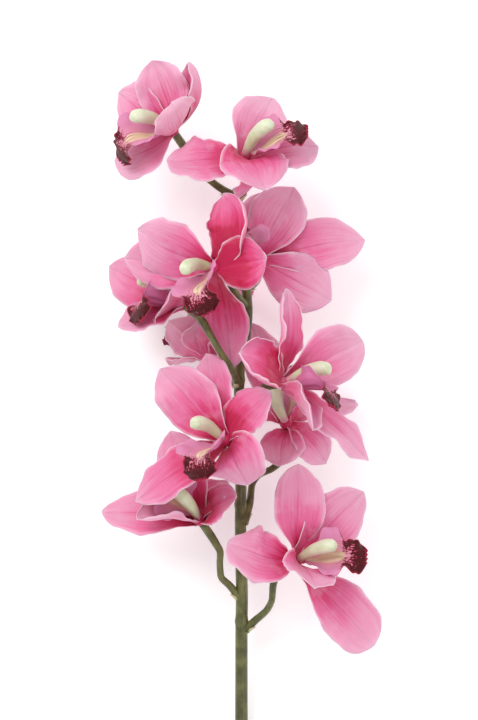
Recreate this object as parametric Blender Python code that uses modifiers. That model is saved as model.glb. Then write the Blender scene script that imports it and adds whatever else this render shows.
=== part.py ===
"""Cut stem of a cymbidium orchid with eleven open blooms, lying on a flat surface.

The stem runs along +Y from its cut end to its tip, and +Z is up from the surface.
Lengths in the tables are millimetres. MM turns them into metres.
"""

import math
from dataclasses import dataclass

import bmesh
import bpy
import numpy as np
from mathutils import Vector

MM = 0.001

# The frame's origin is the middle of the bounding box, at the surface.
ORIGIN_SHIFT = (-1.23, 55.3, 0.0)

# Sizes shared by all blooms.
BLADE_THICKNESS = 0.8
LIP_THICKNESS = 0.8
HUB_RADIUS = 4.6
FIT_GAP = 0.35
SURFACE_EASE = 0.8

# How finely each shape is divided.
BLADE_STEPS = 6
BLADE_LANES = 4
LIP_STEPS = 7
LIP_LANES = 6
HUB_SEGMENTS = 6
HUB_RINGS = 4
COLUMN_RINGS = 6
COLUMN_SIDES = 8
RACHIS_RINGS = 28
RACHIS_SIDES = 10
PEDICEL_SIDES = 6

# A tepal's base: how far it stands out from the heart, and how far behind it.
BLADE_BASE_OUT = 2.8
SEPAL_BASE_BACK = 2.6
PETAL_BASE_BACK = 0.2

# Half width of a tepal along its length, as a share of its greatest half width.
TEPAL_STATIONS = (0.0, 0.12, 0.32, 0.55, 0.76, 0.91, 1.0)
TEPAL_WIDTHS = (0.18, 0.36, 0.78, 1.0, 0.90, 0.57, 0.09)
BLUNT_WIDTHS = (0.18, 0.34, 0.68, 0.94, 1.0, 0.78, 0.20)
BASE_CHANNEL = 25.0
BASE_CHANNEL_END = 0.35
FACE_TURN_END = 0.45

# The lip, from its claw to the tip of its middle lobe: how far its midline runs forward
# along the bloom's facing and down on the lip side, its half width laid flat, and the angle
# by which its edges are raised round the column.
LIP_STATIONS = (0.0, 0.14, 0.30, 0.46, 0.60, 0.70, 0.84, 0.94, 1.0)
LIP_FORWARD = (5.4, 9.0, 14.0, 19.5, 24.5, 27.3, 29.5, 29.0, 27.8)
LIP_DOWN = (1.8, 4.8, 7.6, 9.2, 11.0, 13.6, 19.0, 23.5, 26.5)
LIP_HALF_WIDTHS = (2.4, 5.0, 12.5, 18.5, 16.0, 9.0, 11.5, 10.0, 4.5)
LIP_RAISE = (40.0, 65.0, 82.0, 84.0, 76.0, 42.0, -12.0, -22.0, -25.0)
FLARE_START = 0.55
FLARE_END = 0.80

# The column arches forward over the lip: forward, above the axis, and its radius.
COLUMN_PATH = (
    (5.0, 1.4, 2.5),
    (11.0, 3.2, 3.1),
    (18.0, 4.6, 3.7),
    (24.5, 4.4, 4.2),
    (28.5, 3.0, 4.0),
    (30.6, 1.6, 2.6),
)

# The stem's middle line from its cut end to its tip, with its radius.
RACHIS_PATH = (
    (3.0, -291.0, 4.0, 4.2),
    (2.2, -255.0, 6.2, 4.1),
    (1.5, -216.0, 12.0, 3.9),
    (1.5, -168.0, 22.0, 3.8),
    (1.8, -144.0, 28.0, 3.7),
    (1.2, -120.0, 33.0, 3.6),
    (0.9, -96.0, 38.0, 3.5),
    (1.2, -72.0, 42.0, 3.4),
    (0.9, -42.0, 46.0, 3.3),
    (0.0, -21.0, 48.0, 3.2),
    (0.6, -3.0, 50.0, 3.1),
    (4.2, 15.0, 51.0, 3.0),
    (5.4, 30.0, 52.0, 2.9),
    (4.2, 45.0, 52.0, 2.8),
    (3.0, 66.0, 52.0, 2.6),
    (1.2, 87.0, 52.0, 2.4),
    (-1.2, 98.4, 52.0, 2.2),
    (-2.6, 104.0, 53.0, 1.4),
)
# Swollen joints of the stem, by their place along it, and the small scale leaf under each stalk.
JOINT_RINGS = (-160.0, -88.0, -12.0)
RING_HEIGHT = 2.6
RING_STAND = 0.5
RING_SIDES = 8
BRACT_LENGTH = 7.0
BRACT_WIDTH = 4.4
BRACT_THICKNESS = 1.0
BRACT_STAND = 2.6
BRACT_FOOT_SUNK = 0.12
BRACT_TIP_WIDTH = 0.16

# A bloom's stalk swells where it leaves the stem and again at the ovary behind the bloom.
PEDICEL_STATIONS = (0.0, 0.5, 0.85, 1.0)
PEDICEL_RADII = (2.7, 2.1, 2.7, 2.7)


@dataclass(frozen=True)
class Tepal:
    """One sepal or petal, by its tip's offset from the bloom's heart and how it bends.

    The two petals stand in front of the three sepals. face is the way that its inner side
    looks at mid length, where that isn't the way that the bloom faces.
    """

    tip: tuple
    width: float = 27.0
    arch: float = 3.0
    sway: float = 0.0
    curl: float = 3.0
    cup: float = 20.0
    fold: float = 0.0
    twist: float = 0.0
    wave: float = 0.8
    blunt: float = 0.0
    petal: bool = False
    face: tuple = None


@dataclass(frozen=True)
class Bloom:
    """One flower: its heart, the way it faces, its lip's side, its tepals and its stalk.

    droop is how far the lip hangs away from the column, and flare how far its front lobe turns
    up and forwards, both in degrees.
    """

    name: str
    heart: tuple
    facing: tuple
    lip_side: tuple
    tepals: tuple
    pedicel: tuple
    droop: float = 0.0
    flare: float = 0.0


BLOOMS = (
    Bloom(
        "a",
        heart=(-40.0, 138.0, 70.0),
        facing=(-0.80, 0.15, 0.55),
        lip_side=(-0.3, -0.8, -0.4),
        tepals=(
            Tepal((-12, 42, -4), 34, arch=-2, cup=35, face=(-0.3, 0.0, 0.95)),
            Tepal((-32, 24, -28), 32, petal=True),
            Tepal((1, 13, 34), 34, arch=-6, cup=50, petal=True, face=(-0.6, 0.5, -0.6)),
            Tepal((11, 41, 10), 32, arch=-12, fold=50, face=(-0.9, 0.0, 0.4)),
            Tepal((-34, -18, -14), 34, sway=-5, face=(-0.2, 0.4, 0.9)),
        ),
        pedicel=((-4.2, 99.6, 53), (-10.2, 103.2, 55), (-16.2, 107.4, 57), (-26, 116, 59), (-33, 128, 63)),
        droop=2.0,
        flare=-12.0,
    ),
    Bloom(
        "b",
        heart=(2.4, 121.2, 75.0),
        facing=(0.62, 0.60, 0.50),
        lip_side=(0.5, -0.6, -0.5),
        tepals=(
            Tepal((16, 37, -22), 36, face=(0.3, 0.2, 0.95)),
            Tepal((44, 8, -12), 38, petal=True),
            Tepal((11, -21, 25), 44, arch=8, curl=5, face=(0.1, 0.85, 0.6)),
            Tepal((-45, -3, 8), 37, sway=-5, petal=True),
            Tepal((-4, -23, -8), 26),
        ),
        pedicel=((-1.2, 96, 52), (3, 103, 54), (3, 108, 60), (-2, 113, 67)),
        droop=-6.0,
        flare=45.0,
    ),
    Bloom(
        "c",
        heart=(-15.0, 55.2, 86.0),
        facing=(-0.53, -0.15, 0.83),
        lip_side=(0.4, -0.9, 0.1),
        tepals=(
            Tepal((-45, 21, -6), 38, arch=4, curl=4, cup=10, petal=True),
            Tepal((8, 43, 0), 34, sway=9, cup=25),
            Tepal((31, 5, 12), 34, petal=True),
            Tepal((11, -61, -28), 32, arch=-8, sway=3, cup=15),
            Tepal((-53, 6, -17), 32),
        ),
        pedicel=((3.6, 33, 53), (-0.5, 38, 60), (-5.5, 46, 69), (-8.7, 53.5, 76)),
        flare=-12.0,
    ),
    Bloom(
        "d",
        heart=(-34.2, 34.2, 52.0),
        facing=(-0.86, 0.40, 0.30),
        lip_side=(-0.2, -0.7, 0.6),
        tepals=(
            Tepal((-44, 22, -18), 34, petal=True),
            Tepal((-38, -15, 3), 34, face=(-0.3, 0.75, 0.6)),
            Tepal((-10, 25, -8), 28),
            Tepal((-12, -6, 26), 30),
            Tepal((-19, 8, -62), 28, petal=True),
        ),
        pedicel=((-0.6, -15, 50), (-3, -9, 60), (-6, -3, 67), (-10.8, 4, 71), (-16.2, 13.2, 70), (-23.4, 25, 62)),
        flare=-20.0,
    ),
    Bloom(
        "e",
        heart=(10.2, 61.2, 50.0),
        facing=(-0.06, 0.12, 0.99),
        lip_side=(-0.75, 0.6, -0.2),
        tepals=(
            Tepal((65, 14, -10), 34),
            Tepal((23, 43, -8), 36, petal=True),
            Tepal((6, 40, -20), 32),
            Tepal((45, -25, -6), 36, petal=True),
            Tepal((-12, -21, -55), 26),
        ),
        pedicel=((4.2, 43, 50), (9, 46, 46), (12, 51, 42), (12, 56, 40)),
        flare=15.0,
    ),
    Bloom(
        "f",
        heart=(26.4, -13.8, 82.0),
        facing=(0.90, 0.20, 0.40),
        lip_side=(0.1, -0.86, 0.4),
        tepals=(
            Tepal((46, 28, -22), 39, blunt=0.4, petal=True),
            Tepal((1, 56, 0), 24, face=(0.88, 0.0, 0.47), twist=-30),
            Tepal((-27, 17, 26), 38, petal=True),
            Tepal((50, -47, -8), 34),
            Tepal((16, -28, 30), 28, fold=35),
        ),
        pedicel=((1.8, -36, 47), (8, -31, 58), (13, -22, 70), (15.6, -16.2, 77)),
        droop=-6.0,
        flare=10.0,
    ),
    Bloom(
        "g",
        heart=(28.8, -39.0, 38.0),
        facing=(-0.10, 0.80, 0.50),
        lip_side=(0.8, 0.0, -0.6),
        tepals=(
            Tepal((-4, -25, 14), 30),
            Tepal((23, -24, 4), 30, petal=True),
            Tepal((43, 12, -39), 30),
            Tepal((-22, 61, -12), 28),
            Tepal((-28, 12, -22), 30, petal=True),
        ),
        pedicel=((3, -99, 39), (6.6, -87, 37), (7.8, -76.8, 33), (11.4, -70.8, 30), (21, -66, 27), (28, -57, 28)),
        flare=15.0,
    ),
    Bloom(
        "h",
        heart=(-7.8, -48.0, 85.0),
        facing=(-0.62, 0.27, 0.73),
        lip_side=(0.1, -0.95, 0.2),
        tepals=(
            Tepal((-37, 44, -9), 38, petal=True),
            Tepal((-11, 51, -24), 32),
            Tepal((27, 28, 10), 32, cup=30, petal=True),
            Tepal((13, -25, 6), 42, arch=12, sway=-6, curl=5),
            Tepal((-53, -37, -10), 32),
        ),
        pedicel=((0.6, -66, 44), (2, -60, 56), (1.5, -54, 68)),
        droop=12.0,
    ),
    Bloom(
        "i",
        heart=(-24.0, -96.6, 50.0),
        facing=(-0.50, 0.60, 0.60),
        lip_side=(-0.6, 0.1, -0.8),
        tepals=(
            Tepal((-59, 3, -12), 32),
            Tepal((-37, 0, 22), 30, cup=40, petal=True),
            Tepal((23, 14, 16), 32, cup=30),
            Tepal((17, 22, -4), 30, petal=True),
            Tepal((-17, 53, -12), 34),
        ),
        pedicel=(
            (0.6, -145.8, 28),
            (-5.4, -138, 32),
            (-11.1, -131.4, 36),
            (-11.7, -123.6, 38),
            (-11.4, -117.6, 40),
            (-14.4, -111, 42),
            (-18.5, -104.5, 44),
        ),
        flare=15.0,
    ),
    Bloom(
        "j",
        heart=(34.2, -121.2, 60.0),
        facing=(0.81, 0.31, 0.50),
        lip_side=(0.59, -0.48, -0.65),
        tepals=(
            Tepal((-41, 13, 14), 40, sway=-6),
            Tepal((1, 58, -4), 34, fold=12, petal=True, face=(0.25, 0.0, 1.0)),
            Tepal((11, -15, 33), 36, cup=30, petal=True, face=(0.4, 0.9, 0.35)),
            Tepal((39, 43, -22), 38),
            Tepal((47, -51.5, -10), 37.6, blunt=0.8, face=(0.35, 0.25, 0.9)),
        ),
        pedicel=(
            (4.2, -165, 23),
            (9.6, -159.6, 27),
            (17.4, -151.8, 34),
            (20.1, -145.2, 40),
            (20.7, -136.8, 46),
            (24.5, -127, 53),
        ),
        droop=-3.0,
        flare=45.0,
    ),
    Bloom(
        "k",
        heart=(-19.2, 1.8, 34.0),
        facing=(-0.35, 0.80, -0.45),
        lip_side=(-0.45, -0.3, -0.8),
        tepals=(
            Tepal((-23, 21, 8), 30),
            Tepal((-3, 22, 10), 28, petal=True),
            Tepal((18, 8, 4), 26),
            Tepal((-20, -6, -32), 28),
            Tepal((14, 6, -24), 26, petal=True),
        ),
        pedicel=((0, -12, 47), (-5, -14, 41), (-12, -10, 36)),
    ),
)


def unit(vector):
    """The vector at length one."""
    vector = np.asarray(vector, float)
    return vector / np.linalg.norm(vector)


def across(vector, axis):
    """The part of the vector that is square to the axis, at length one."""
    vector = np.asarray(vector, float)
    axis = unit(axis)
    return unit(vector - vector.dot(axis) * axis)


def through(x, stations, values):
    """A smooth curve through the values at the stations, with no overshoot."""
    xs = np.asarray(stations, float)
    ys = np.asarray(values, float)
    steps = np.diff(xs)
    slopes = np.diff(ys) / steps
    bends = np.concatenate([slopes[:1], np.zeros(len(xs) - 2), slopes[-1:]])
    same_way = slopes[:-1] * slopes[1:] > 0
    means = 2 * slopes[:-1] * slopes[1:] / np.where(same_way, slopes[:-1] + slopes[1:], 1.0)
    bends[1:-1] = np.where(same_way, means, 0.0)
    cell = np.clip(np.searchsorted(xs, x, side="right") - 1, 0, len(steps) - 1)
    step = steps[cell]
    t = (x - xs[cell]) / step
    return (
        (1 + 2 * t) * (1 - t) ** 2 * ys[cell]
        + t * (1 - t) ** 2 * step * bends[cell]
        + t**2 * (3 - 2 * t) * ys[cell + 1]
        + t**2 * (t - 1) * step * bends[cell + 1]
    )


def frames_along(points, normal):
    """Tangent and normal at each point of a line, the normal carried along without turning."""
    tangents = np.gradient(points, axis=0)
    tangents /= np.linalg.norm(tangents, axis=1)[:, None]
    normals = np.empty_like(points)
    for index, tangent in enumerate(tangents):
        normal = across(normal, tangent)
        normals[index] = normal
    return tangents, normals


def turned(normals, tangents, degrees):
    """The normals turned round the tangents."""
    angle = np.radians(degrees)[:, None]
    return normals * np.cos(angle) + np.cross(tangents, normals) * np.sin(angle)


def bent_sheet(u, v, line, tangents, normals, half_width, edge_angle, fold_angle):
    """Points of a sheet that follows a line, v running from edge to edge.

    edge_angle is how far the sheet has bent up by its edge, in degrees, and fold_angle is
    how far both halves are folded up from the middle.
    """
    along = np.linspace(0, 1, len(line))
    at = [np.stack([np.interp(u, along, part) for part in rows.T], 1) for rows in (line, tangents, normals)]
    middle, tangent, normal = at
    side = np.cross(tangent, normal)
    side /= np.linalg.norm(side, axis=1)[:, None]
    reach = (np.arange(12) + 0.5) / 12
    lanes = v[:, None] * reach
    slope = np.radians(edge_angle[:, None] * lanes + fold_angle[:, None] * np.tanh(lanes / 0.15))
    sideways = half_width * v * np.cos(slope).mean(1)
    raised = half_width * v * np.sin(slope).mean(1)
    return middle + side * sideways[:, None] + normal * raised[:, None]


def tepal_points(bloom, tepal, order, u, v):
    """Points of a tepal relative to the heart."""
    facing = unit(bloom.facing)
    tip = np.array(tepal.tip, float)
    outward = across(tip, facing)
    back = PETAL_BASE_BACK if tepal.petal else SEPAL_BASE_BACK
    base = BLADE_BASE_OUT * outward - back * facing
    chord = tip - base
    face = facing if tepal.face is None else unit(tepal.face)
    inner = across(face, chord)
    side = np.cross(unit(chord), inner)
    t = np.linspace(0, 1, 49)[:, None]
    knee = (base + tip) / 2 + 2 * tepal.arch * inner + 2 * tepal.sway * side
    line = base * (1 - t) ** 2 + 2 * t * (1 - t) * knee + tip * t**2
    line = line + tepal.curl * (t - t**4) * inner
    tangents, normals = frames_along(line, across(facing, line[1] - line[0]))
    middle = len(line) // 2
    wanted = across(face, tangents[middle])
    sine = np.cross(normals[middle], wanted).dot(tangents[middle])
    face_turn = math.degrees(math.atan2(sine, normals[middle].dot(wanted)))
    share = np.clip(t[:, 0] / FACE_TURN_END, 0, 1)
    turn = face_turn * share**2 * (3 - 2 * share) + tepal.twist * t[:, 0]
    normals = turned(normals, tangents, turn)
    shape = (1 - tepal.blunt) * np.array(TEPAL_WIDTHS) + tepal.blunt * np.array(BLUNT_WIDTHS)
    half_width = tepal.width / 2 * through(u, TEPAL_STATIONS, shape)
    channel = BASE_CHANNEL * np.clip(1 - u / BASE_CHANNEL_END, 0, 1)
    fold = tepal.fold * np.clip(u / BASE_CHANNEL_END, 0, 1)
    points = bent_sheet(u, v, line, tangents, normals, half_width, tepal.cup + channel, fold)
    lift = tepal.wave * v**2 * np.sin(9.0 * u + 2.4 * order + 1.3 * (v > 0)) * np.sin(np.pi * u)
    up = np.stack([np.interp(u, t[:, 0], part) for part in normals.T], 1)
    return points + up * lift[:, None]


def summed(start, slopes, step):
    """Adds up a slope along evenly spaced points, from a start value."""
    return start + step * np.concatenate([[0.0], np.cumsum(slopes[1:] + slopes[:-1]) / 2])


def lip_points(bloom, u, v):
    """Points of the lip relative to the heart."""
    facing = unit(bloom.facing)
    down = across(bloom.lip_side, facing)
    t = np.linspace(0, 1, 61)
    forward = through(t, LIP_STATIONS, LIP_FORWARD)
    lower = through(t, LIP_STATIONS, LIP_DOWN)
    flared = np.radians(bloom.flare * np.clip((t - FLARE_START) / (FLARE_END - FLARE_START), 0, 1))
    step_forward = np.gradient(forward, t)
    step_lower = np.gradient(lower, t)
    turned_forward = step_forward * np.cos(flared) + step_lower * np.sin(flared)
    turned_lower = step_lower * np.cos(flared) - step_forward * np.sin(flared)
    forward = summed(forward[0], turned_forward, t[1])
    lower = summed(lower[0], turned_lower, t[1])
    droop = math.radians(bloom.droop)
    ahead = math.cos(droop) * facing + math.sin(droop) * down
    below = math.cos(droop) * down - math.sin(droop) * facing
    claw = forward[0] * facing + lower[0] * down
    line = claw + (forward - forward[0])[:, None] * ahead + (lower - lower[0])[:, None] * below
    tangents, normals = frames_along(line, -below)
    half_width = through(u, LIP_STATIONS, LIP_HALF_WIDTHS)
    raise_angle = through(u, LIP_STATIONS, LIP_RAISE)
    return bent_sheet(u, v, line, tangents, normals, half_width, raise_angle, np.zeros_like(u))


def laid_on_surface(points, heart, thickness):
    """The points with none of the sheet below the surface that the stem lies on."""
    lowest = thickness / 2
    height = points[:, 2] + heart[2] - lowest
    eased = np.where(height < SURFACE_EASE, (height + SURFACE_EASE) ** 2 / (4 * SURFACE_EASE), height)
    eased = np.where(height < -SURFACE_EASE, 0.0, eased)
    points = points.copy()
    points[:, 2] = eased + lowest - heart[2]
    return points


def sheet_object(name, steps, lanes, thickness, place):
    """A grid bent by place(u, v), split into triangles, and given its thickness."""
    grid = bmesh.new()
    bmesh.ops.create_grid(grid, x_segments=steps, y_segments=lanes, size=0.5)
    flat = np.array([vert.co[:] for vert in grid.verts])
    for vert, point in zip(grid.verts, place(flat[:, 0] + 0.5, 2 * flat[:, 1])):
        vert.co = Vector(point) * MM
    bmesh.ops.triangulate(grid, faces=grid.faces[:])
    mesh = bpy.data.meshes.new(name)
    grid.to_mesh(mesh)
    grid.free()
    sheet = bpy.data.objects.new(name, mesh)
    wall = sheet.modifiers.new("Wall", "SOLIDIFY")
    wall.thickness = thickness * MM
    wall.offset = 0.0
    return sheet


def smooth_line(points, count):
    """Evenly counted points of a smooth line through the given ones, with its other columns."""
    points = np.asarray(points, float)
    steps = np.linalg.norm(np.diff(points[:, :3], axis=0), axis=1)
    along = np.concatenate([[0], np.cumsum(steps)])
    at = np.linspace(0, along[-1], count)
    return np.stack([through(at, along, column) for column in points.T], 1)


def tube_mesh(name, points, radii, sides):
    """A capped tube along the points, made from a bevelled curve."""
    curve = bpy.data.curves.new(name, "CURVE")
    curve.dimensions = "3D"
    curve.bevel_depth = MM
    curve.bevel_resolution = (sides - 4) // 2
    curve.use_fill_caps = True
    spline = curve.splines.new("POLY")
    spline.points.add(len(points) - 1)
    for place, point, radius in zip(spline.points, points, radii):
        place.co = (*(Vector(point) * MM), 1.0)
        place.radius = radius
    guide = bpy.data.objects.new(name, curve)
    bpy.context.scene.collection.objects.link(guide)
    graph = bpy.context.evaluated_depsgraph_get()
    mesh = bpy.data.meshes.new_from_object(guide.evaluated_get(graph))
    bpy.data.objects.remove(guide)
    welded = bmesh.new()
    welded.from_mesh(mesh)
    bmesh.ops.remove_doubles(welded, verts=welded.verts[:], dist=1e-6)
    welded.to_mesh(mesh)
    welded.free()
    return mesh


def applied(target):
    """Replaces the object's mesh by the one that its modifiers make."""
    graph = bpy.context.evaluated_depsgraph_get()
    mesh = bpy.data.meshes.new_from_object(target.evaluated_get(graph))
    target.modifiers.clear()
    target.data = mesh


def keep_main_body(mesh):
    """Drops loose scraps and fills sealed hollows, leaving the one outer skin."""
    skins = bmesh.new()
    skins.from_mesh(mesh)
    waiting = set(skins.faces)
    bodies = []
    while waiting:
        body = set()
        edge_of_body = [waiting.pop()]
        while edge_of_body:
            face = edge_of_body.pop()
            body.add(face)
            for edge in face.edges:
                for other in edge.link_faces:
                    if other in waiting:
                        waiting.discard(other)
                        edge_of_body.append(other)
        bodies.append(body)
    largest = max(bodies, key=len)
    spare = [face for body in bodies if body is not largest for face in body]
    bmesh.ops.delete(skins, geom=spare, context="FACES")
    skins.to_mesh(mesh)
    skins.free()


def joined(target, pieces):
    """Fuses the pieces into the target with one Boolean union and removes them."""
    scene = bpy.context.scene.collection
    group = bpy.data.collections.new(target.name + "_pieces")
    scene.children.link(group)
    for piece in pieces:
        group.objects.link(piece)
    union = target.modifiers.new("Union", "BOOLEAN")
    union.operation = "UNION"
    union.operand_type = "COLLECTION"
    union.collection = group
    union.use_self = False
    bpy.context.view_layer.update()
    applied(target)
    keep_main_body(target.data)
    for piece in pieces:
        bpy.data.objects.remove(piece)
    bpy.data.collections.remove(group)


def finish(name, colour, roughness):
    """A material with the given linear colour."""
    material = bpy.data.materials.new(name)
    material.use_nodes = True
    shader = material.node_tree.nodes["Principled BSDF"]
    shader.inputs["Base Color"].default_value = (*colour, 1.0)
    shader.inputs["Roughness"].default_value = roughness
    shader.inputs["Metallic"].default_value = 0.0
    return material


def add_part(part, collection, root, material, location):
    """Places a finished part under the root and gives it its material."""
    if part.name not in collection.objects:
        collection.objects.link(part)
    part.parent = root
    part.location = Vector(location) * MM
    part.data.materials.clear()
    part.data.materials.append(material)
    part.data.shade_smooth()
    part.data.set_sharp_from_angle(angle=math.radians(50))


def make_tepals(bloom, scene):
    """The hub and its five tepals as one body."""
    hub_mesh = bpy.data.meshes.new(f"bloom_{bloom.name}_tepals")
    ball = bmesh.new()
    bmesh.ops.create_uvsphere(ball, u_segments=HUB_SEGMENTS, v_segments=HUB_RINGS, radius=HUB_RADIUS * MM)
    ball.to_mesh(hub_mesh)
    ball.free()
    hub = bpy.data.objects.new(hub_mesh.name, hub_mesh)
    scene.objects.link(hub)
    blades = []
    for order, tepal in enumerate(bloom.tepals):

        def place(u, v, tepal=tepal, order=order):
            points = tepal_points(bloom, tepal, order, u, v)
            return laid_on_surface(points, bloom.heart, BLADE_THICKNESS)

        name = f"blade_{bloom.name}_{order}"
        blades.append(sheet_object(name, BLADE_STEPS, BLADE_LANES, BLADE_THICKNESS, place))
    joined(hub, blades)
    return hub


def make_lip(bloom, scene):
    """The lip, standing just off the hub."""

    def place(u, v):
        return laid_on_surface(lip_points(bloom, u, v), bloom.heart, LIP_THICKNESS)

    lip = sheet_object(f"bloom_{bloom.name}_lip", LIP_STEPS, LIP_LANES, LIP_THICKNESS, place)
    scene.objects.link(lip)
    bpy.context.view_layer.update()
    applied(lip)
    return lip


def make_column(bloom, scene):
    """The arched column above the lip."""
    facing = unit(bloom.facing)
    down = across(bloom.lip_side, facing)
    path = smooth_line(COLUMN_PATH, COLUMN_RINGS)
    points = path[:, :1] * facing - path[:, 1:2] * down
    mesh = tube_mesh(f"bloom_{bloom.name}_column", points, path[:, 2], COLUMN_SIDES)
    column = bpy.data.objects.new(mesh.name, mesh)
    scene.objects.link(column)
    return column


def pedicel_tube(bloom):
    """A bloom's stalk from inside the stem to just short of its hub, wider at the ovary."""
    heart = np.array(bloom.heart)
    last = np.array(bloom.pedicel[-1], float)
    end = heart + unit(last - heart) * (HUB_RADIUS + FIT_GAP)
    route = np.array([*bloom.pedicel, end], float)
    line = smooth_line(route, 3 + len(route))
    radii = through(np.linspace(0, 1, len(line)), PEDICEL_STATIONS, PEDICEL_RADII)
    mesh = tube_mesh(f"pedicel_{bloom.name}", line, radii, PEDICEL_SIDES)
    return bpy.data.objects.new(mesh.name, mesh)


def joint_ring(place):
    """A slightly swollen joint of the rachis at the given Y."""
    path = np.array(RACHIS_PATH, float)
    ends = np.array([place - RING_HEIGHT / 2, place + RING_HEIGHT / 2])
    middle = np.stack([through(ends, path[:, 1], column) for column in path.T], 1)
    mesh = tube_mesh(f"ring_{abs(place):.0f}", middle[:, :3], middle[:, 3] + RING_STAND, RING_SIDES)
    return bpy.data.objects.new(mesh.name, mesh)


def bract(bloom):
    """The pointed scale leaf below a stalk, its foot sunk in the rachis."""
    foot = Vector(bloom.pedicel[0])
    along = (Vector(bloom.pedicel[1]) - foot).normalized()
    down = (Vector((0.0, -1.0, 0.0)) - along * -along.y).normalized()
    across_it = along.cross(down)
    cone = bmesh.new()
    bmesh.ops.create_cone(
        cone, cap_ends=True, segments=6, radius1=0.5, radius2=BRACT_TIP_WIDTH / 2, depth=1.0
    )
    for vert in cone.verts:
        place = foot + down * (BRACT_STAND + BRACT_THICKNESS * vert.co.y)
        place += across_it * BRACT_WIDTH * vert.co.x
        place += along * BRACT_LENGTH * (vert.co.z + 0.5 + BRACT_FOOT_SUNK)
        vert.co = place * MM
    bmesh.ops.recalc_face_normals(cone, faces=cone.faces[:])
    mesh = bpy.data.meshes.new(f"bract_{bloom.name}")
    cone.to_mesh(mesh)
    cone.free()
    return bpy.data.objects.new(mesh.name, mesh)


def make_stem(scene):
    """The rachis with its joints and bracts, and every pedicel grown out of it."""
    line = smooth_line(RACHIS_PATH, RACHIS_RINGS)
    mesh = tube_mesh("stem", line[:, :3], line[:, 3], RACHIS_SIDES)
    stem = bpy.data.objects.new("stem", mesh)
    scene.objects.link(stem)
    grown = [pedicel_tube(bloom) for bloom in BLOOMS]
    grown += [bract(bloom) for bloom in BLOOMS]
    grown += [joint_ring(place) for place in JOINT_RINGS]
    joined(stem, grown)
    return stem


def main():
    for leftover in list(bpy.data.objects):
        bpy.data.objects.remove(leftover)
    collection = bpy.data.collections.new("cymbidium_orchid_stem")
    bpy.context.scene.collection.children.link(collection)
    root = bpy.data.objects.new("orchid_root", None)
    collection.objects.link(root)
    root.location = Vector(ORIGIN_SHIFT) * MM
    green = finish("stem_green", (0.145, 0.170, 0.035), 0.5)
    pink = finish("petal_pink", (0.75, 0.22, 0.42), 0.45)
    wine = finish("lip_wine", (0.45, 0.06, 0.16), 0.45)
    cream = finish("column_cream", (0.72, 0.66, 0.42), 0.4)
    add_part(make_stem(collection), collection, root, green, (0, 0, 0))
    for bloom in BLOOMS:
        add_part(make_tepals(bloom, collection), collection, root, pink, bloom.heart)
        add_part(make_lip(bloom, collection), collection, root, wine, bloom.heart)
        add_part(make_column(bloom, collection), collection, root, cream, bloom.heart)


main()
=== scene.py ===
"""Looks of a cut cymbidium orchid stem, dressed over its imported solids.

The tables hold millimetres in the layout's own frame, whose origin is the middle of the picture
on the surface. PLANT_SHIFT carries them to the row frame, and MM turns them into metres.
"""

from __future__ import annotations

import logging
import math
from dataclasses import dataclass, field
from enum import Enum
from typing import Callable

import bmesh
import bpy
import numpy as np
from mathutils import Matrix, Vector


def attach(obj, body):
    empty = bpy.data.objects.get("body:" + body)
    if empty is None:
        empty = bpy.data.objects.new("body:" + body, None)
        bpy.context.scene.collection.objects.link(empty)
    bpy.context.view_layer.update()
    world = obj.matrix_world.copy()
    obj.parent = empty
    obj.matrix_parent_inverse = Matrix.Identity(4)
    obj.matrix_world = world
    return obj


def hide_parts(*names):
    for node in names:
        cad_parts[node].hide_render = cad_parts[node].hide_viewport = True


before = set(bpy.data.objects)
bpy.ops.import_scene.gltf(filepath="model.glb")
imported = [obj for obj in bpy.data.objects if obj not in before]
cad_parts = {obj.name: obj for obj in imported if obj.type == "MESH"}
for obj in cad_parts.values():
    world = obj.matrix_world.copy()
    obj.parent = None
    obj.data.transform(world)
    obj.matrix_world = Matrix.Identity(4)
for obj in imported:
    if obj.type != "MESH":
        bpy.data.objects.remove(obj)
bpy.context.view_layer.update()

LOG = logging.getLogger("orchid")

MM = 0.001
PLANT_SHIFT = (-1.23, 55.3, 0.0)
BALL_SIDES = 24
BALL_UV = (0.02, 0.5)

Array = np.ndarray
Point = tuple[float, float, float]
Place = Callable[[Array, Array], Array]


class Slot(Enum):
    """The record's material slots."""

    PETAL = "petal"
    LIP = "lip"
    COLUMN = "column"
    STEM = "stem"


@dataclass(frozen=True)
class Tepal:
    """One sepal or petal, by its tip's offset from the bloom's heart and how it bends.

    The petals stand in front of the sepals. face is the way that its inner side looks at mid
    length, where that isn't the way that the bloom faces. roll is how far its margins curl back
    in degrees, or in where it is negative, ruffle the height of the waves along them, and hook
    how far its tip turns in. lean is how far its tip turns aside, and groove the depth of the crease
    along its middle. Its deepening value is how much deeper than usual its colour is painted, partly
    its own deeper tint and partly painted shade where it lies in shade; where negative it is painted
    paler, as painted light on a tepal that falls in shade.
    """

    tip: Point
    width: float = 27.0
    arch: float = 3.0
    sway: float = 0.0
    curl: float = 3.0
    cup: float = 20.0
    fold: float = 0.0
    twist: float = 0.0
    wave: float = 0.8
    blunt: float = 0.0
    petal: bool = False
    face: Point | None = None
    roll: float = 45.0
    ruffle: float = 0.7
    hook: float = 2.0
    lean: float = 0.0
    groove: float = 0.55
    flush: float = 0.0


@dataclass(frozen=True)
class BloomForm:
    """One flower: its heart, the way it faces, its lip's side, its tepals and its stalk.

    droop is how far the lip hangs away from the column, and flare how far its front lobe turns
    up and forwards, both in degrees.
    """

    name: str
    heart: Point
    facing: Point
    lip_side: Point
    tepals: tuple[Tepal, ...]
    pedicel: tuple[Point, ...]
    droop: float = 0.0
    flare: float = 0.0


# Each tepal's deepening value paints its colour deeper, partly for its own deeper tint and partly as painted
# shade where it lies in shade; negative values paint it paler, as painted light on tepals that fall in shade.
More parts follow.
